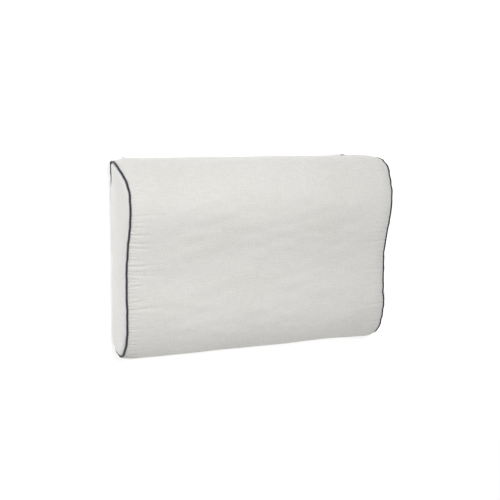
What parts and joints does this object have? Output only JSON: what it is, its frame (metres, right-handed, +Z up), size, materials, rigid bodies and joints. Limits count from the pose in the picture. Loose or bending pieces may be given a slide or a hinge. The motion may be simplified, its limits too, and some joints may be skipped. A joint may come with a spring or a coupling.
{
  "type": "contour bed pillow",
  "caption": "Contoured foam bed pillow with a high and a low neck lobe, in a zip-off knitted cover with plain end panels and dark piped seams.",
  "frame": {"origin": "under the middle of the pillow, on the plane of its flat base", "axes": "+X along the pillow's length, towards the end where the zip closes; +Y from the low lobe towards the high lobe; +Z up, out of the sleeping surface"},
  "size_m": [0.6186, 0.4042, 0.118],
  "materials": {
    "foam": "matte open-cell foam",
    "liner_knit": "matte jersey",
    "cover_knit": "matte jacquard knit",
    "end_knit": "smooth matte knit",
    "piping_cloth": "matte woven",
    "filler_cord": "matte twisted cotton",
    "zip_tape": "matte woven",
    "zip_coil": "satin nylon",
    "zip_metal": "satin plated",
    "label_satin": "satin ribbon"
  },
  "bodies": {
    "pillow": {"foam_core": "foam", "liner_wrap": "liner_knit", "liner_left_end": "liner_knit", "liner_right_end": "liner_knit", "cover_wrap": "cover_knit", "left_end_panel": "end_knit", "right_end_panel": "end_knit", "left_piping_cover": "piping_cloth", "left_piping_cord": "filler_cord", "right_piping_cover": "piping_cloth", "right_piping_cord": "filler_cord", "zip_tape_upper": "zip_tape", "zip_tape_lower": "zip_tape", "zip_coil_upper": "zip_coil", "zip_coil_lower": "zip_coil", "zip_top_stop_upper": "zip_metal", "zip_top_stop_lower": "zip_metal", "zip_bottom_stop": "zip_metal", "care_label": "label_satin"},
    "slider": {"zip_slider": "zip_metal"},
    "pull": {"zip_pull": "zip_metal"}
  },
  "joints": [
    {"name": "slider_travel", "type": "slide", "parent": "pillow", "child": "slider", "axis": [-1, 0, 0], "range_m": [0, 0.448]},
    {"name": "pull_swing", "type": "hinge", "parent": "slider", "child": "pull", "pos_m": [0.225, 0.2003, 0.02625], "axis": [0, 0, -1], "range_deg": [0, 175]}
  ]
}
